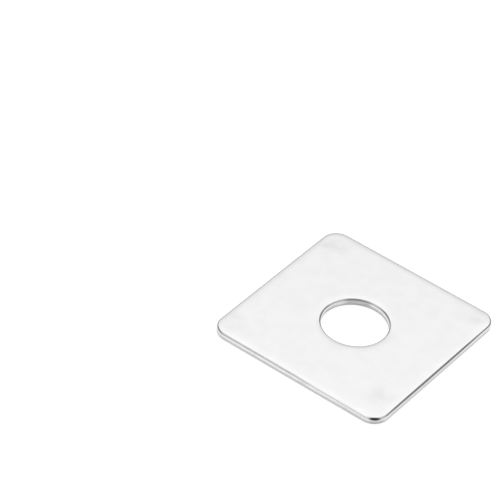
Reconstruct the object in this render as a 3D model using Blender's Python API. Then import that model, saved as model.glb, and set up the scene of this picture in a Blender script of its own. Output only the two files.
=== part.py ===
"""Square plate washer for an M12 bolt, stamped from sheet steel in one stroke.

The washer is one piece: a square of sheet with round corners and a round bolt bore in the middle. Shearing
leaves the same section on the blank's outline and on the bore. From the top face down it is a shallow die
roll, a small round nose, a straight burnished land, a fracture zone that leans back from the land, and a
burr worn round by tumbling.

Metres, +Z up. The origin lies on the bore's axis, in the flat underside that seats on the work.
"""

import math

import bmesh
import bpy

MM = 0.001

# The sheet and the blank cut from it
SIDE = 40.0 * MM
THICKNESS = 1.6 * MM
CORNER_RADIUS = 3.4 * MM
BORE_DIAMETER = 13.3 * MM

# The sheared edge, measured from the burnished land, which is the widest part of the blank and the
# narrowest part of the bore
ROLL_WIDTH = 2.8 * MM
ROLL_DEPTH = 0.11 * MM
NOSE_RADIUS = 0.4 * MM
LAND_SHARE = 0.4  # of the wall's straight part, the rest of which is the fracture zone
FRACTURE_LEAN = math.radians(4.0)
BURR_RADIUS = 0.12 * MM

# How late the die roll steepens towards the edge: 1 is a plain bevel, and thin sheet lies between 3 and 5
ROLL_POWER = 5.0

# Facets
ROLL_STEPS = 6
NOSE_STEPS = 5
BURR_STEPS = 3
CORNER_STEPS = 12
BORE_STEPS = 96

STEEL_COLOUR = (0.88, 0.88, 0.88, 1.0)
STEEL_ROUGHNESS = 0.3


def clear_scene():
    """Empties the file, so that the washer is its only object."""
    for obj in list(bpy.data.objects):
        bpy.data.objects.remove(obj, do_unlink=True)


def steel():
    """Bright tumbled stainless steel."""
    material = bpy.data.materials.new("stainless_steel")
    material.use_nodes = True
    shader = material.node_tree.nodes["Principled BSDF"]
    shader.inputs["Base Color"].default_value = STEEL_COLOUR
    shader.inputs["Metallic"].default_value = 1.0
    shader.inputs["Roughness"].default_value = STEEL_ROUGHNESS
    return material


def sheared_section():
    """The edge's section from the flat top face to the flat underside, as (inset, height) stations.

    The inset is how far a station lies back into the metal from the burnished land.
    """
    roll_slope = math.atan(ROLL_POWER * ROLL_DEPTH / ROLL_WIDTH)
    nose_turn = math.pi / 2 - roll_slope
    roll_foot = NOSE_RADIUS * (1 - math.cos(nose_turn))
    nose_centre = THICKNESS - ROLL_DEPTH - NOSE_RADIUS * math.sin(nose_turn)

    stations = []
    for step in range(ROLL_STEPS):
        fallen = step / ROLL_STEPS  # each facet falls by the same share of the roll's depth
        along = fallen ** (1 / ROLL_POWER)
        stations.append((roll_foot + ROLL_WIDTH * (1 - along), THICKNESS - ROLL_DEPTH * fallen))
    for step in range(NOSE_STEPS + 1):
        turn = nose_turn * (1 - step / NOSE_STEPS)
        stations.append(
            (NOSE_RADIUS * (1 - math.cos(turn)), nose_centre + NOSE_RADIUS * math.sin(turn))
        )

    land_foot = nose_centre - LAND_SHARE * (nose_centre - BURR_RADIUS)
    fracture_inset = (land_foot - BURR_RADIUS) * math.tan(FRACTURE_LEAN)
    stations.append((0.0, land_foot))
    for step in range(BURR_STEPS + 1):
        turn = math.pi / 2 * step / BURR_STEPS
        stations.append(
            (fracture_inset + BURR_RADIUS * (1 - math.cos(turn)), BURR_RADIUS * (1 - math.sin(turn)))
        )
    return stations


def blank_outline(inset):
    """The square outline with its round corners, moved inwards by the inset."""
    half = SIDE / 2 - inset
    radius = max(CORNER_RADIUS - inset, BURR_RADIUS)
    points = []
    for corner, (x_sign, y_sign) in enumerate([(1, 1), (-1, 1), (-1, -1), (1, -1)]):
        for step in range(CORNER_STEPS + 1):
            angle = math.pi / 2 * (corner + step / CORNER_STEPS)
            points.append(
                (
                    x_sign * (half - radius) + radius * math.cos(angle),
                    y_sign * (half - radius) + radius * math.sin(angle),
                )
            )
    return points


def bore_outline(inset):
    """The bore's circle, opened outwards by the inset."""
    radius = BORE_DIAMETER / 2 + inset
    turns = [2 * math.pi * step / BORE_STEPS for step in range(BORE_STEPS)]
    return [(radius * math.cos(turn), radius * math.sin(turn)) for turn in turns]


def add_loop(bm, points, height):
    """A closed loop of edges through the points, at one height."""
    corners = [bm.verts.new((x, y, height)) for x, y in points]
    return [bm.edges.new(pair) for pair in zip(corners, corners[1:] + corners[:1])]


def loft_wall(bm, outline, stations):
    """Lofts the sheared section round an outline. Returns its top and bottom loops."""
    loops = [add_loop(bm, outline(inset), height) for inset, height in stations]
    for upper, lower in zip(loops, loops[1:]):
        bmesh.ops.bridge_loops(bm, edges=upper + lower)
    return loops[0], loops[-1]


def washer_mesh():
    """The whole washer: two lofted walls, joined by the flat top face and the flat underside."""
    stations = sheared_section()
    bm = bmesh.new()
    blank_top, blank_bottom = loft_wall(bm, blank_outline, stations)
    bore_top, bore_bottom = loft_wall(bm, bore_outline, stations)
    bmesh.ops.triangle_fill(bm, edges=blank_top + bore_top, use_beauty=True)
    bmesh.ops.triangle_fill(bm, edges=blank_bottom + bore_bottom, use_beauty=True)
    bmesh.ops.recalc_face_normals(bm, faces=bm.faces)
    mesh = bpy.data.meshes.new("square_washer")
    bm.to_mesh(mesh)
    bm.free()
    mesh.shade_smooth()
    mesh.set_sharp_from_angle(angle=math.radians(30.0))
    return mesh


def main():
    """Puts the washer in a collection of its own."""
    clear_scene()
    collection = bpy.data.collections.new("square_plate_washer")
    bpy.context.scene.collection.children.link(collection)
    washer = bpy.data.objects.new("square_washer", washer_mesh())
    washer.data.materials.append(steel())
    collection.objects.link(washer)


main()
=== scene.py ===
"""A square plate washer of bright stamped steel, lying on a white table under soft light.

The washer is modelled again inside its solid's box, with finer facets of the same sheared edge. It is
dressed in two kinds of finish: the rolled sheet's own skin on the flat faces, and the metal that the die
drew and tore on the outline and the bore.

Metres, +Z up, with the origin on the bore's axis in the underside.
"""

import logging
import math
from collections.abc import Callable
from dataclasses import dataclass
from enum import Enum

import bmesh
import bpy
from mathutils import Euler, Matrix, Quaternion, Vector


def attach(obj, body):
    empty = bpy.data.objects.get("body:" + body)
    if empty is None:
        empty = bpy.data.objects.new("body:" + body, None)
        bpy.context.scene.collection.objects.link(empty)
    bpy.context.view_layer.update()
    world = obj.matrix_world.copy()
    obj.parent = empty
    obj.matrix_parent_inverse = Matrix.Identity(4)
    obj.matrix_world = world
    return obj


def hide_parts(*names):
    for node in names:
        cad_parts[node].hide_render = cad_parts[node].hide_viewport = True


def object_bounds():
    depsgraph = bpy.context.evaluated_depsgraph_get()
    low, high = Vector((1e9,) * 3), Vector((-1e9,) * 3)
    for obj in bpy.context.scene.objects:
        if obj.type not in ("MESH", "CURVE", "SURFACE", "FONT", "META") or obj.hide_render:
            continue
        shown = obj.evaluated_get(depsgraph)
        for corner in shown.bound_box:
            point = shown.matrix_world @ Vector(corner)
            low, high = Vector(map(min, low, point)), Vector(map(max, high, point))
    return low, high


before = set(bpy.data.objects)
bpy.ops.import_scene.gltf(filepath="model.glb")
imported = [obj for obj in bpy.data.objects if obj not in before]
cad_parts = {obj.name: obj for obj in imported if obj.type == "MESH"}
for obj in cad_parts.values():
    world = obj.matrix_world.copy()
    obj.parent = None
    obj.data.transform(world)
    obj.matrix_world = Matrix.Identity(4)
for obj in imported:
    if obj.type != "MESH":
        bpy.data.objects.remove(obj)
cad_low, cad_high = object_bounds()

MM = 0.001
NODE = "square_washer"

Socket = bpy.types.NodeSocket
Colour = tuple[float, float, float, float]
Size = tuple[float, float, float]
Point = tuple[float, float, float]

# The Mix node's sockets for two colours and for their result
MIX_FIRST = 6
MIX_SECOND = 7
MIX_RESULT = 2

# The stretch of a noise's values that runs from 0 to 1, in clouds and streaks and in fine grain
CLOUD_SPAN = (0.3, 0.7)
GRAIN_SPAN = (0.25, 0.75)

# The share of a speck's radius over which it is whole
SPECK_CORE = 0.5

log = logging.getLogger("washer")


class Surface(Enum):
    """The washer's kinds of surface, by the number of the material slot that each takes."""

    FACE = 0
    OUTLINE = 1
    BORE = 2


class Graph:
    """A node tree that is written as nested calls."""

    def __init__(self, tree: bpy.types.NodeTree) -> None:
        """Starts the graph on a tree, which it empties."""
        self.tree = tree
        tree.nodes.clear()

    def node(self, kind: str, inputs: dict | None = None, **settings: object) -> bpy.types.Node:
        """Adds a node.

        Args:
            kind: The node's type.
            inputs: A value, or another node's socket, for each input, by its name or number.
            settings: The node's own properties.

        Returns:
            The new node.
        """
        made = self.tree.nodes.new(kind)
        for name, value in settings.items():
            setattr(made, name, value)
        for key, value in (inputs or {}).items():
            self.feed(made.inputs[key], value)
        return made

    def feed(self, socket: Socket, value: object) -> None:
        """Links a socket to another one, or sets it to a value.

        Args:
            socket: The input to feed.
            value: The value, or the other node's socket.
        """
        if isinstance(value, Socket):
            self.tree.links.new(value, socket)
        else:
            socket.default_value = value

    def math(self, operation: str, *values: object) -> Socket:
        """Adds a Math node and returns its result."""
        return self.node("ShaderNodeMath", dict(enumerate(values)), operation=operation).outputs[0]

    def step(
        self, value: object, start: object, end: object, low: object = 0.0, high: object = 1.0
    ) -> Socket:
        """Adds a soft step.

        Args:
            value: What is stepped.
            start: The value at which the step begins.
            end: The value at which it ends.
            low: The result before the step.
            high: The result after it.

        Returns:
            The result's socket.
        """
        inputs = {"Value": value, "From Min": start, "From Max": end, "To Min": low, "To Max": high}
        return self.node("ShaderNodeMapRange", inputs, interpolation_type="SMOOTHSTEP").outputs[0]

    def blend(self, factor: object, first: object, second: object) -> Socket:
        """Adds a mix from the first colour to the second and returns its result."""
        inputs = {"Factor": factor, MIX_FIRST: first, MIX_SECOND: second}
        return self.node("ShaderNodeMix", inputs, data_type="RGBA").outputs[MIX_RESULT]

    def group(self, tree: bpy.types.NodeTree, inputs: dict) -> bpy.types.Node:
        """Places a node group with its own values and returns its node."""
        return self.node("ShaderNodeGroup", inputs, node_tree=tree)

    def streaks(self, tree: bpy.types.NodeTree, vector: object, size: Size) -> Socket:
        """Places the group of drawn streaks with its size along each axis and returns its value."""
        inputs = {"Vector": vector, "Size X": size[0], "Size Y": size[1], "Size Z": size[2]}
        return self.group(tree, inputs).outputs[0]

    def noise(self, vector: object, size: object, detail: float) -> Socket:
        """Adds noise whose lumps are about so many metres across and returns its value."""
        inputs = {"Vector": vector, "Scale": self.math("DIVIDE", 1.0, size), "Detail": detail}
        return self.node("ShaderNodeTexNoise", inputs).outputs[0]

    def place(self) -> Socket:
        """Adds the point's place on the object, in metres."""
        return self.node("ShaderNodeTexCoord").outputs["Object"]


def new_group(
    name: str, inputs: dict[str, float], outputs: list[str]
) -> tuple[bpy.types.NodeTree, Graph]:
    """Makes a shader node group that reads a Vector.

    Args:
        name: The group's name.
        inputs: Each number that the group takes, with its usual value.
        outputs: The values that it puts out.

    Returns:
        The group and its graph.
    """
    tree = bpy.data.node_groups.new(name, "ShaderNodeTree")
    tree.interface.new_socket("Vector", in_out="INPUT", socket_type="NodeSocketVector")
    for label, value in inputs.items():
        socket = tree.interface.new_socket(label, in_out="INPUT", socket_type="NodeSocketFloat")
        socket.default_value = value
    for label in outputs:
        tree.interface.new_socket(label, in_out="OUTPUT", socket_type="NodeSocketFloat")
    return tree, Graph(tree)


@dataclass(frozen=True)
class Effects:
    """The node groups that both kinds of finish share."""

    mottle: bpy.types.NodeTree
    drawn: bpy.types.NodeTree
    specks: bpy.types.NodeTree


def mottle_group() -> bpy.types.NodeTree:
    """Soft clouds and a fine grain, both from 0 to 1, as on tumbled metal.

    Returns:
        The group, which puts out Cloud and Grain.
    """
    sizes = {"Cloud Size": 3.0 * MM, "Grain Size": 0.12 * MM}
    tree, graph = new_group("mottle", sizes, ["Cloud", "Grain"])
    given = graph.node("NodeGroupInput").outputs
    clouds = graph.noise(given["Vector"], given["Cloud Size"], detail=3.0)
    grain = graph.noise(given["Vector"], given["Grain Size"], detail=2.0)
    results = {"Cloud": graph.step(clouds, *CLOUD_SPAN), "Grain": graph.step(grain, *GRAIN_SPAN)}
    graph.node("NodeGroupOutput", results)
    return tree


def drawn_group() -> bpy.types.NodeTree:
    """Streaks from 0 to 1 that run along the axis with the largest size, as a roll or a die leaves them.

    Returns:
        The group, which puts out Streak.
    """
    tree, graph = new_group("drawn_streaks", {"Size X": MM, "Size Y": MM, "Size Z": MM}, ["Streak"])
    given = graph.node("NodeGroupInput").outputs
    size = graph.node("ShaderNodeCombineXYZ", {axis: given[axis + 1] for axis in range(3)}).outputs[0]
    vectors = {0: given["Vector"], 1: size}
    stretched = graph.node("ShaderNodeVectorMath", vectors, operation="DIVIDE").outputs[0]
    streak = graph.noise(stretched, 1.0, detail=2.0)
    graph.node("NodeGroupOutput", {"Streak": graph.step(streak, *CLOUD_SPAN)})
    return tree


def speck_group() -> bpy.types.NodeTree:
    """Scattered round specks, 1 inside a speck and 0 outside, as pits and grime leave on metal.

    Returns:
        The group, which puts out Speck. The higher its Share is, the more places hold a speck.
    """
    values = {"Spacing": 2.0 * MM, "Radius": 0.1 * MM, "Share": 0.3}
    tree, graph = new_group("specks", values, ["Speck"])
    given = graph.node("NodeGroupInput").outputs
    inputs = {"Vector": given["Vector"], "Scale": graph.math("DIVIDE", 1.0, given["Spacing"])}
    cells = graph.node("ShaderNodeTexVoronoi", inputs).outputs
    reach = graph.math("DIVIDE", given["Radius"], given["Spacing"])
    core = graph.math("MULTIPLY", reach, SPECK_CORE)
    inside = graph.step(cells["Distance"], core, reach, 1.0, 0.0)
    chosen = graph.math("LESS_THAN", cells["Color"], given["Share"])
    graph.node("NodeGroupOutput", {"Speck": graph.math("MULTIPLY", inside, chosen)})
    return tree


def metal(graph: Graph, colour: Socket, roughness: Socket, relief: Socket, depth: float) -> None:
    """Ends a metal's graph.

    Args:
        graph: The material's graph.
        colour: The base colour.
        roughness: The roughness.
        relief: The surface's relief, in shares of the depth.
        depth: What a relief of 1 stands for, in metres.
    """
    bump = graph.node("ShaderNodeBump", {"Height": relief, "Distance": depth}).outputs[0]
    inputs = {"Base Color": colour, "Roughness": roughness, "Metallic": 1.0, "Normal": bump}
    shader = graph.node("ShaderNodeBsdfPrincipled", inputs)
    graph.node("ShaderNodeOutputMaterial", {"Surface": shader.outputs[0]})


@dataclass(frozen=True)
class FaceFinish:
    """The rolled sheet's skin, tumbled bright, with faint mottling, handling marks and a few pits."""

    name: str = "tumbled_face"
    steel: Colour = (0.935, 0.935, 0.935, 1.0)
    mottled: Colour = (0.92, 0.92, 0.92, 1.0)
    marked: Colour = (0.85, 0.85, 0.85, 1.0)
    pitted: Colour = (0.35, 0.35, 0.35, 1.0)
    roughness: float = 0.285
    roughness_spread: float = 0.045
    relief: float = 0.0006 * MM
    cloud_size: float = 2.4 * MM
    grain_size: float = 0.25 * MM
    line_size: Size = (9.0 * MM, 0.16 * MM, 0.16 * MM)
    line_share: float = 0.5
    pit_spacing: float = 6.0 * MM
    pit_radius: float = 0.16 * MM
    pit_share: float = 0.25
    mark_reach: float = 3.6 * MM
    mark_clouding: tuple[float, float] = (-0.6, 1.0)
    mark_places: tuple[tuple[float, float], ...] = (
        (-16.2 * MM, 15.6 * MM),
        (-17.0 * MM, 15.0 * MM),
        (17.2 * MM, 17.4 * MM),
        (15.8 * MM, -13.6 * MM),
        (-17.4 * MM, -16.0 * MM),
    )

    def marks(self, graph: Graph, place: Socket) -> Socket:
        """How far handling has dulled the face near its corners.

        Args:
            graph: The material's graph.
            place: The point's place on the object.

        Returns:
            0 away from the marks, and 1 or more in the middle of one.
        """
        total: object = 0.0
        for x, y in self.mark_places:
            vectors = {0: place, 1: (x, y, cad_high.z)}
            away = graph.node("ShaderNodeVectorMath", vectors, operation="DISTANCE").outputs["Value"]
            total = graph.math("ADD", total, graph.step(away, 0.0, self.mark_reach, 1.0, 0.0))
        return total

    def material(self, effects: Effects) -> bpy.types.Material:
        """Builds the material.

        Args:
            effects: The node groups that the finishes share.

        Returns:
            The material.
        """
        material = bpy.data.materials.new(self.name)
        material.use_nodes = True
        graph = Graph(material.node_tree)
        place = graph.place()
        sizes = {"Vector": place, "Cloud Size": self.cloud_size, "Grain Size": self.grain_size}
        skin = graph.group(effects.mottle, sizes).outputs
        lines = graph.streaks(effects.drawn, place, self.line_size)
        sizes = {
            "Vector": place,
            "Spacing": self.pit_spacing,
            "Radius": self.pit_radius,
            "Share": self.pit_share,
        }
        pits = graph.group(effects.specks, sizes).outputs[0]
        clouding = graph.step(skin["Cloud"], *self.mark_clouding)
        marks = graph.math("MULTIPLY", self.marks(graph, place), clouding)

        colour = graph.blend(skin["Cloud"], self.steel, self.mottled)
        colour = graph.blend(marks, colour, self.marked)
        colour = graph.blend(pits, colour, self.pitted)
        spread = graph.math("MULTIPLY", skin["Cloud"], self.roughness_spread)
        relief = graph.math("ADD", graph.math("MULTIPLY", lines, self.line_share), skin["Grain"])
        metal(graph, colour, graph.math("ADD", spread, self.roughness), relief, self.relief)
        return material


# The shades of the darker and brighter reflections painted on the edges
BRIGHT: Colour = (0.90, 0.90, 0.90, 1.0)
GREY: Colour = (0.36, 0.36, 0.36, 1.0)
DARK: Colour = (0.22, 0.22, 0.22, 1.0)
BLACK: Colour = (0.05, 0.05, 0.05, 1.0)


@dataclass(frozen=True)
class PaintedReflection:
    """A painted reflection: a stretch of the edge painted darker or brighter, with its half lengths as its
    size.

    It is whole over its core, which is a share of its size, and fades out from there.
    """

    place: Point
    size: Size
    shade: Colour
    strength: float = 1.0
    core: float = 0.5

    def cover(self, graph: Graph, place: Socket) -> Socket:
        """How far the painted reflection covers the metal's colour.

        Args:
            graph: The material's graph.
            place: The point's place on the object.

        Returns:
            0 where the metal is bare, up to the painted reflection's strength in its core.
        """
        vectors = {0: place, 1: self.place}
        away = graph.node("ShaderNodeVectorMath", vectors, operation="SUBTRACT").outputs[0]
        vectors = {0: away, 1: self.size}
        shares = graph.node("ShaderNodeVectorMath", vectors, operation="DIVIDE").outputs[0]
        reach = graph.node("ShaderNodeVectorMath", {0: shares}, operation="LENGTH").outputs["Value"]
        return graph.step(reach, self.core, 1.0, self.strength, 0.0)


@dataclass(frozen=True)
class EdgeFinish:
    """Sheared metal: a nose with a painted dark reflection, a land with upright drag lines, and a grainy
    fracture below it.

    The painted dark band on the nose starts and ends at shares of its radius, and its gaps are the share
    of it that the clouds take away.
    The foot is the wandering line where the land gives way to the fracture.
    """

    name: str
    # The nose's colour is a painted dark reflection
    nose: Colour = (0.56, 0.56, 0.56, 1.0)
    land: Colour = (0.84, 0.84, 0.84, 1.0)
    fracture: Colour = (0.62, 0.62, 0.62, 1.0)
    smeared: Colour = (0.66, 0.66, 0.66, 1.0)
    burr: Colour = (0.45, 0.45, 0.45, 1.0)
    grimed: Colour = (0.35, 0.35, 0.35, 1.0)
    land_roughness: float = 0.16
    fracture_roughness: float = 0.42
    relief: float = 0.004 * MM
    cloud_size: float = 1.5 * MM
    grain_size: float = 0.09 * MM
    drag_size: Size = (0.07 * MM, 0.07 * MM, 1.2 * MM)
    drag_share: float = 0.4
    smear_size: Size = (2.6 * MM, 2.6 * MM, 0.22 * MM)
    # Where the painted dark reflection on the nose starts and ends, and how much of it the clouds take
    # away
    nose_start: float = 0.45
    nose_end: float = 0.75
    nose_reflection_gaps: float = 0.6
    burr_reach: float = 0.45 * MM
    grime_spacing: float = 0.8 * MM
    grime_radius: float = 0.12 * MM
    grime_share: float = 0.3
    foot_wander: float = 0.12 * MM
    foot_blur: float = 0.06 * MM
    painted_reflections: tuple[PaintedReflection, ...] = ()

    def material(self, effects: Effects, section: "Section") -> bpy.types.Material:
        """Builds the material.

        Args:
            effects: The node groups that the finishes share.
            section: The sheared section that it dresses.

        Returns:
            The material.
        """
        material = bpy.data.materials.new(self.name)
        material.use_nodes = True
        graph = Graph(material.node_tree)
        place = graph.place()
        height = graph.node("ShaderNodeSeparateXYZ", {0: place}).outputs[2]
        sizes = {"Vector": place, "Cloud Size": self.cloud_size, "Grain Size": self.grain_size}
        body = graph.group(effects.mottle, sizes).outputs
        drag = graph.streaks(effects.drawn, place, self.drag_size)
        smear = graph.streaks(effects.drawn, place, self.smear_size)
        sizes = {
            "Vector": place,
            "Spacing": self.grime_spacing,
            "Radius": self.grime_radius,
            "Share": self.grime_share,
        }
        grime = graph.group(effects.specks, sizes).outputs[0]

        foot = section.land_foot + self.foot_wander / 2
        wander = graph.math("MULTIPLY", body["Cloud"], self.foot_wander)
        level = graph.math("ADD", height, wander)
        torn = graph.step(level, foot - self.foot_blur, foot + self.foot_blur, 1.0, 0.0)
        # The nose's dark band is a painted reflection, broken up by the clouds
        nose_low = section.land_top + section.nose_radius * self.nose_start
        nose_high = section.land_top + section.nose_radius * self.nose_end
        gaps_in_reflection = graph.math("MULTIPLY", body["Cloud"], self.nose_reflection_gaps)
        left = graph.math("SUBTRACT", 1.0, gaps_in_reflection)
        dark = graph.math("MULTIPLY", graph.step(height, nose_low, nose_high), left)

        colour = graph.blend(torn, self.land, self.fracture)
        colour = graph.blend(smear, colour, self.smeared)
        colour = graph.blend(graph.step(height, 0.0, self.burr_reach, 1.0, 0.0), colour, self.burr)
        # Painted dark reflection on the nose
        colour = graph.blend(dark, colour, self.nose)
        colour = graph.blend(graph.math("MULTIPLY", grime, torn), colour, self.grimed)
        # Painted darker and brighter reflections along the edge
        for reflection in self.painted_reflections:
            colour = graph.blend(reflection.cover(graph, place), colour, reflection.shade)

        gap = self.fracture_roughness - self.land_roughness
        roughness = graph.math("ADD", graph.math("MULTIPLY", torn, gap), self.land_roughness)
        ridges = graph.math("MULTIPLY", drag, self.drag_share)
        tears = graph.math("MULTIPLY", body["Grain"], torn)
        metal(graph, colour, roughness, graph.math("ADD", ridges, tears), self.relief)
        return material


@dataclass(frozen=True)
class Section:
    """The sheared edge from the top face to the underside, in insets from the burnished land and heights.

    The land takes its share of the wall's straight part. The higher the die roll's power is, the later
    the roll steepens towards the nose.
    """

    thickness: float
    roll_width: float = 2.8 * MM
    roll_depth: float = 0.11 * MM
    roll_power: float = 5.0
    nose_radius: float = 0.4 * MM
    land_share: float = 0.4
    fracture_lean: float = math.radians(4.0)
    burr_radius: float = 0.12 * MM
    roll_steps: int = 20
    nose_steps: int = 10
    fracture_steps: int = 3
    burr_steps: int = 5

    @property
    def roll_slope(self) -> float:
        """The angle at which the die roll meets the nose."""
        return math.atan(self.roll_power * self.roll_depth / self.roll_width)

    @property
    def land_top(self) -> float:
        """The height at which the nose ends and the land begins."""
        return self.thickness - self.roll_depth - self.nose_radius * math.cos(self.roll_slope)

    @property
    def land_foot(self) -> float:
        """The height at which the land ends and the fracture begins."""
        return self.land_top - self.land_share * (self.land_top - self.burr_radius)

    def above(self) -> list[tuple[float, float]]:
        """Rounds the nose and the die roll.

        Returns:
            The (inset, height) of each station from the land's top up to the flat face.
        """
        turn = math.pi / 2 - self.roll_slope
        stations = []
        for step in range(self.nose_steps + 1):
            angle = turn * step / self.nose_steps
            inset = self.nose_radius * (1 - math.cos(angle))
            stations.append((inset, self.land_top + self.nose_radius * math.sin(angle)))
        foot = stations[-1][0]
        for step in range(1, self.roll_steps + 1):
            left = 1 - step / self.roll_steps
            height = self.thickness - self.roll_depth * left**self.roll_power
            stations.append((foot + self.roll_width * (1 - left), height))
        return stations

    def below(self) -> list[tuple[float, float]]:
        """Leans the fracture back and rounds the burr.

        Returns:
            The (inset, height) of each station from the land's foot down to the flat underside.
        """
        fall = self.land_foot - self.burr_radius
        stations = []
        for step in range(self.fracture_steps + 1):
            drop = fall * step / self.fracture_steps
            stations.append((drop * math.tan(self.fracture_lean), self.land_foot - drop))
        foot = stations[-1][0]
        for step in range(1, self.burr_steps + 1):
            angle = math.pi / 2 * step / self.burr_steps
            inset = foot + self.burr_radius * (1 - math.cos(angle))
            stations.append((inset, self.burr_radius * (1 - math.sin(angle))))
        return stations


def choose(test: Callable[[bmesh.types.BMFace], bool]) -> None:
    """Selects, in edit mode, the faces that pass a test and nothing else.

    Args:
        test: Says whether a face is wanted.
    """
    mesh = bpy.context.object.data
    bm = bmesh.from_edit_mesh(mesh)
    for face in bm.faces:
        face.select_set(False)
    for face in bm.faces:
        if test(face):
            face.select_set(True)
    bmesh.update_edit_mesh(mesh)


@dataclass
class SquareWasher:
    """The washer: a square blank with round corners and a bore, with one sheared section round both."""

    side: float
    section: Section
    corner_radius: float = 3.4 * MM
    bore_diameter: float = 13.3 * MM
    corner_steps: int = 24
    side_steps: int = 24
    flat: float = math.cos(math.radians(1.0))
    edge_tilt: float = math.radians(14.0)
    smooth_angle: float = math.radians(30.0)
    face_finish: FaceFinish = FaceFinish()
    outline_finish: EdgeFinish = EdgeFinish(
        "blanked_edge",
        # Painted reflections: a brighter stretch of the -Y nose, a darker stretch of the +X nose, a grey
        # nose at the +X +Y corner, and a grey wall and a black spot at the +X -Y corner
        painted_reflections=(
            PaintedReflection((11.0 * MM, -20.0 * MM, 1.45 * MM), (11.0 * MM, 2.0 * MM, 0.45 * MM), BRIGHT, 0.8),
            PaintedReflection((20.0 * MM, -2.0 * MM, 1.4 * MM), (2.0 * MM, 19.0 * MM, 0.5 * MM), DARK, 0.6),
            PaintedReflection((19.4 * MM, 19.4 * MM, 1.45 * MM), (3.2 * MM, 3.2 * MM, 0.5 * MM), GREY, 0.6),
            PaintedReflection((18.9 * MM, -18.9 * MM, 0.7 * MM), (1.8 * MM, 1.8 * MM, 1.6 * MM), GREY, 0.35),
            PaintedReflection((18.8 * MM, -19.2 * MM, 1.24 * MM), (1.4 * MM, 1.4 * MM, 0.33 * MM), BLACK),
        ),
    )
    bore_finish: EdgeFinish = EdgeFinish(
        "pierced_edge",
        # Darker than the outline's colours: partly a rougher pierced fracture and partly painted shade
        # inside the bore, with a stronger painted dark reflection on the nose
        nose=(0.50, 0.50, 0.50, 1.0),
        land=(0.80, 0.80, 0.80, 1.0),
        fracture=(0.48, 0.48, 0.48, 1.0),
        burr=(0.34, 0.34, 0.34, 1.0),
        foot_wander=0.4 * MM,
        foot_blur=0.25 * MM,
        # Painted reflections: a grey wall and a darker nose on the bore's +Y side, and a dark stretch of
        # nose on its -X side
        painted_reflections=(
            PaintedReflection((-3.4 * MM, 5.7 * MM, 0.9 * MM), (3.2 * MM, 3.2 * MM, 1.6 * MM), GREY, 0.65),
            PaintedReflection((-3.4 * MM, 5.7 * MM, 1.4 * MM), (3.8 * MM, 3.8 * MM, 0.45 * MM), DARK, 0.25),
            PaintedReflection((-5.9 * MM, -3.4 * MM, 1.45 * MM), (2.8 * MM, 2.8 * MM, 0.5 * MM), DARK, 0.6),
        ),
    )

    def outline(self) -> None:
        """Draws the square with its round corners, as one closed loop of edges at the land's top."""
        bpy.ops.mesh.primitive_plane_add(size=self.side, location=(0.0, 0.0, self.section.land_top))
        bpy.ops.object.mode_set(mode="EDIT")
        bpy.ops.mesh.select_all(action="SELECT")
        bpy.ops.mesh.bevel(offset=self.corner_radius, segments=self.corner_steps, affect="VERTICES")
        mesh = bpy.context.object.data
        bm = bmesh.from_edit_mesh(mesh)
        for edge in bm.edges:
            edge.select_set(edge.calc_length() > self.corner_radius)
        bmesh.update_edit_mesh(mesh)
        bpy.ops.mesh.subdivide(number_cuts=self.side_steps - 1)
        bpy.ops.mesh.select_all(action="SELECT")
        bpy.ops.mesh.delete(type="ONLY_FACE")

    def blank(self) -> None:
        """Pierces the bore in the outline and gives the sheet the land's height."""
        around = 4 * (self.corner_steps + self.side_steps)
        radius = self.bore_diameter / 2
        middle = (0.0, 0.0, self.section.land_top)
        bpy.ops.mesh.primitive_circle_add(vertices=around, radius=radius, location=middle)
        bpy.ops.mesh.select_all(action="SELECT")
        bpy.ops.mesh.bridge_edge_loops()
        bpy.ops.mesh.normals_make_consistent(inside=False)
        drop = (0.0, 0.0, self.section.land_foot - self.section.land_top)
        bpy.ops.mesh.extrude_region_move(TRANSFORM_OT_translate={"value": drop})
        bpy.ops.mesh.select_all(action="SELECT")
        bpy.ops.mesh.normals_make_consistent(inside=False)

    def shear(self, stations: list[tuple[float, float]]) -> None:
        """Insets the chosen flat faces from station to station, round outline and bore at once."""
        for (inset, height), (next_inset, next_height) in zip(stations, stations[1:]):
            bpy.ops.mesh.inset(thickness=next_inset - inset, depth=abs(next_height - height))

    def dress(self, washer: bpy.types.Object) -> None:
        """Gives the flat faces and the die roll one finish, and the steeper faces of each edge another.

        Args:
            washer: The washer's object.
        """
        effects = Effects(mottle_group(), drawn_group(), speck_group())
        materials = {
            Surface.FACE: self.face_finish.material(effects),
            Surface.OUTLINE: self.outline_finish.material(effects, self.section),
            Surface.BORE: self.bore_finish.material(effects, self.section),
        }
        for surface in Surface:
            washer.data.materials.append(materials[surface])

        steep = math.cos(self.edge_tilt)
        bpy.ops.object.mode_set(mode="EDIT")
        for surface, reach in ((Surface.OUTLINE, self.side), (Surface.BORE, self.bore_diameter)):
            choose(
                lambda face: abs(face.normal.z) < steep
                and face.calc_center_median().xy.length < reach
            )
            washer.active_material_index = surface.value
            bpy.ops.object.material_slot_assign()
        bpy.ops.object.mode_set(mode="OBJECT")

    def build(self) -> bpy.types.Object:
        """Models the washer and dresses it.

        Returns:
            The washer's object.
        """
        bpy.ops.object.select_all(action="DESELECT")
        self.outline()
        self.blank()
        choose(lambda face: face.normal.z > self.flat)
        self.shear(self.section.above())
        choose(lambda face: face.normal.z < -self.flat)
        self.shear(self.section.below())
        bpy.ops.object.mode_set(mode="OBJECT")
        washer = bpy.context.object
        bpy.ops.object.transform_apply(location=True, rotation=False, scale=False)
        bpy.ops.object.shade_smooth_by_angle(angle=self.smooth_angle)
        washer.name = "stamped_washer"
        self.dress(washer)
        return washer


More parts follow.
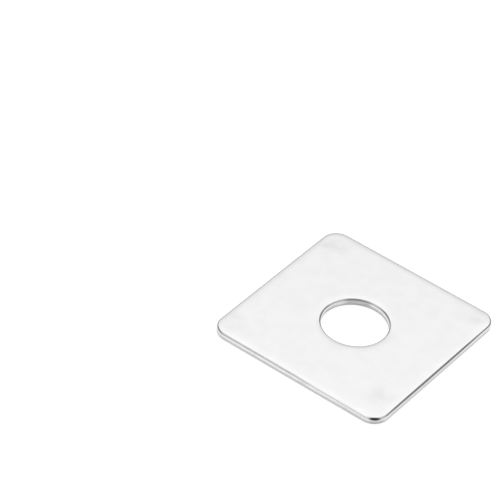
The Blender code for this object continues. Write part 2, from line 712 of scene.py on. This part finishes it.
@dataclass(frozen=True)
class Table:
    """The table top, which takes the washer's soft shadow and looks white where nothing shades it."""

    size: float = 6.0
    drop: float = 0.01 * MM
    top: Colour = (0.50, 0.50, 0.50, 1.0)
    glow: float = 0.74

    def build(self) -> bpy.types.Object:
        """Lays the table top.

        Returns:
            Its object.
        """
        bpy.ops.object.select_all(action="DESELECT")
        bpy.ops.mesh.primitive_plane_add(size=self.size, location=(0.0, 0.0, -self.drop))
        table = bpy.context.object
        table.name = "table_top"
        material = bpy.data.materials.new("white_table")
        material.use_nodes = True
        graph = Graph(material.node_tree)
        seen = backdrop_rays(graph)
        shader = graph.node("ShaderNodeBsdfDiffuse", {"Color": self.top})
        glow = graph.node("ShaderNodeEmission", {"Strength": graph.math("MULTIPLY", seen, self.glow)})
        both = graph.node("ShaderNodeAddShader", {0: shader.outputs[0], 1: glow.outputs[0]})
        graph.node("ShaderNodeOutputMaterial", {"Surface": both.outputs[0]})
        table.data.materials.append(material)
        return table


def backdrop_rays(graph: Graph) -> Socket:
    """Tells the rays that see a backdrop from those that only carry its light.

    Args:
        graph: The material's or the world's graph.

    Returns:
        1 for rays from the camera, from a glossy surface or through a clear one, and 0 for the rest.
    """
    rays = graph.node("ShaderNodeLightPath").outputs
    seen = graph.math("MAXIMUM", rays["Is Camera Ray"], rays["Is Glossy Ray"])
    return graph.math("MAXIMUM", seen, rays["Is Transmission Ray"])


def towards(azimuth: float, elevation: float) -> Vector:
    """Points from the washer to a place round it.

    Args:
        azimuth: The angle round the washer in degrees, 0 on the -Y side and 90 on the +X side.
        elevation: The angle above the table, in degrees.

    Returns:
        The direction, as a unit vector.
    """
    turn, rise = math.radians(azimuth), math.radians(elevation)
    return Vector((math.sin(turn) * math.cos(rise), -math.cos(turn) * math.cos(rise), math.sin(rise)))


@dataclass(frozen=True)
class Patch:
    """A round patch of the tent with its own brightness, which fades from its inner to its outer angle."""

    azimuth: float
    elevation: float
    inner: float
    outer: float
    brightness: float


@dataclass(frozen=True)
class Tent:
    """The dome of cloth round the table that the bright metal mirrors. Only glossy rays see it.

    It is grey at its foot and white from its shoulder up. Its patches are a little greyer overhead and
    before the soft box, and dark where the tent is open.
    """

    radius: float = 1.5
    segments: int = 48
    rings: int = 24
    foot: float = 0.32
    shoulder: float = 1.03
    foot_elevation: float = 9.0
    shoulder_elevation: float = 42.0
    patches: tuple[Patch, ...] = (
        Patch(0.0, 90.0, 8.0, 20.0, 0.85),
        Patch(211.0, 67.0, 14.0, 24.0, 0.88),
        Patch(32.0, 50.0, 12.0, 18.0, 0.40),
        Patch(58.0, 49.0, 12.0, 18.0, 0.40),
        Patch(140.0, 26.0, 9.0, 20.0, 0.25),
        Patch(282.0, 26.0, 12.0, 30.0, 0.28),
    )

    def build(self) -> bpy.types.Object:
        """Pitches the tent.

        Returns:
            Its object.
        """
        bpy.ops.object.select_all(action="DESELECT")
        bpy.ops.mesh.primitive_uv_sphere_add(
            segments=self.segments, ring_count=self.rings, radius=self.radius
        )
        tent = bpy.context.object
        tent.name = "tent"
        bpy.ops.object.mode_set(mode="EDIT")
        choose(lambda face: face.calc_center_median().z < 0.0)
        bpy.ops.mesh.delete(type="FACE")
        bpy.ops.object.mode_set(mode="OBJECT")
        bpy.ops.object.shade_smooth()
        tent.data.materials.append(self.material())
        tent.visible_camera = False
        tent.visible_diffuse = False
        tent.visible_transmission = False
        tent.visible_shadow = False
        return tent

    def material(self) -> bpy.types.Material:
        """Gives the cloth its brightness in each direction.

        Returns:
            The material.
        """
        material = bpy.data.materials.new("tent_cloth")
        material.use_nodes = True
        material.cycles.emission_sampling = "NONE"
        graph = Graph(material.node_tree)
        out = graph.node("ShaderNodeVectorMath", {0: graph.place()}, operation="NORMALIZE").outputs[0]
        rise = graph.math("ARCSINE", graph.node("ShaderNodeSeparateXYZ", {0: out}).outputs[2])
        span = (math.radians(self.foot_elevation), math.radians(self.shoulder_elevation))
        light = graph.step(rise, *span, self.foot, self.shoulder)
        for patch in self.patches:
            vectors = {0: out, 1: towards(patch.azimuth, patch.elevation)}
            facing = graph.node("ShaderNodeVectorMath", vectors, operation="DOT_PRODUCT")
            inner = math.cos(math.radians(patch.inner))
            outer = math.cos(math.radians(patch.outer))
            cover = graph.step(facing.outputs["Value"], outer, inner)
            inputs = {"Factor": cover, "A": light, "B": patch.brightness}
            light = graph.node("ShaderNodeMix", inputs).outputs[0]
        shader = graph.node("ShaderNodeEmission", {"Strength": light})
        graph.node("ShaderNodeOutputMaterial", {"Surface": shader.outputs[0]})
        return material


@dataclass(frozen=True)
class SoftBox:
    """A square area lamp that points at the washer."""

    name: str
    azimuth: float
    elevation: float
    size: float
    power: float
    distance: float = 1.0

    def build(self) -> bpy.types.Object:
        """Hangs the lamp in its place.

        Returns:
            Its object.
        """
        out = towards(self.azimuth, self.elevation)
        lamp = bpy.data.lights.new(self.name, "AREA")
        lamp.size = self.size
        lamp.energy = self.power
        holder = bpy.data.objects.new(self.name, lamp)
        holder.location = out * self.distance
        holder.rotation_mode = "QUATERNION"
        holder.rotation_quaternion = out.to_track_quat("Z", "Y")
        bpy.context.scene.collection.objects.link(holder)
        return holder


@dataclass(frozen=True)
class Studio:
    """The plain white room, its soft box and the tent that the metal mirrors."""

    room_light: float = 0.85
    white: float = 1.0
    table: Table = Table()
    tent: Tent = Tent()
    lamp: SoftBox = SoftBox("soft_box", azimuth=211.0, elevation=68.0, size=0.7, power=0.3)

    def room(self) -> None:
        """Gives the room its light, and its white to whatever sees it."""
        world = bpy.data.worlds.new("white_room")
        bpy.context.scene.world = world
        world.use_nodes = True
        graph = Graph(world.node_tree)
        seen = backdrop_rays(graph)
        light = graph.node("ShaderNodeBackground", {"Strength": self.room_light})
        shown = graph.node("ShaderNodeBackground", {"Strength": self.white})
        both = graph.node("ShaderNodeMixShader", {0: seen, 1: light.outputs[0], 2: shown.outputs[0]})
        graph.node("ShaderNodeOutputWorld", {"Surface": both.outputs[0]})

    def build(self) -> None:
        """Builds the room, the table, the tent and the lamp."""
        self.room()
        self.table.build()
        self.tent.build()
        self.lamp.build()


@dataclass(frozen=True)
class PhotoCamera:
    """The photograph's camera, which looks over the washer's near corner and has it low on the right."""

    frame_px: float = 500.0
    focal_px: float = 2998.75
    sensor: float = 36.0
    distance: float = 580.44 * MM
    azimuth: float = math.radians(31.558)
    elevation: float = math.radians(41.552)
    roll: float = math.radians(7.406)
    washer_right_px: float = 104.34
    washer_down_px: float = 78.0

    def build(self) -> bpy.types.Object:
        """Places the camera and makes it the scene's own.

        Returns:
            The camera's object.
        """
        data = bpy.data.cameras.new("photo_camera")
        data.sensor_width = self.sensor
        data.lens = self.sensor * self.focal_px / self.frame_px
        camera = bpy.data.objects.new("photo_camera", data)
        bpy.context.scene.collection.objects.link(camera)
        orbit = Euler((math.pi / 2 - self.elevation, 0.0, self.azimuth)).to_quaternion()
        camera.location = orbit @ Vector((0.0, 0.0, self.distance))
        sight = Vector((self.washer_right_px, -self.washer_down_px, -self.focal_px))
        aside = Vector((0.0, 0.0, -1.0)).rotation_difference(sight)
        camera.rotation_mode = "QUATERNION"
        camera.rotation_quaternion = orbit @ Quaternion((0.0, 0.0, 1.0), self.roll) @ aside.inverted()
        bpy.context.scene.camera = camera
        return camera


def main() -> None:
    """Builds the camera, the washer and the studio, in that order."""
    logging.basicConfig(level=logging.INFO, format="%(name)s: %(message)s")
    bpy.context.scene.view_settings.view_transform = "Standard"
    PhotoCamera().build()

    size = cad_high - cad_low
    washer = SquareWasher(side=size.x, section=Section(thickness=size.z)).build()
    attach(washer, "root")
    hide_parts(NODE)
    log.info("%s: %d faces", washer.name, len(washer.data.polygons))

    Studio().build()


if __name__ == "__main__":
    main()
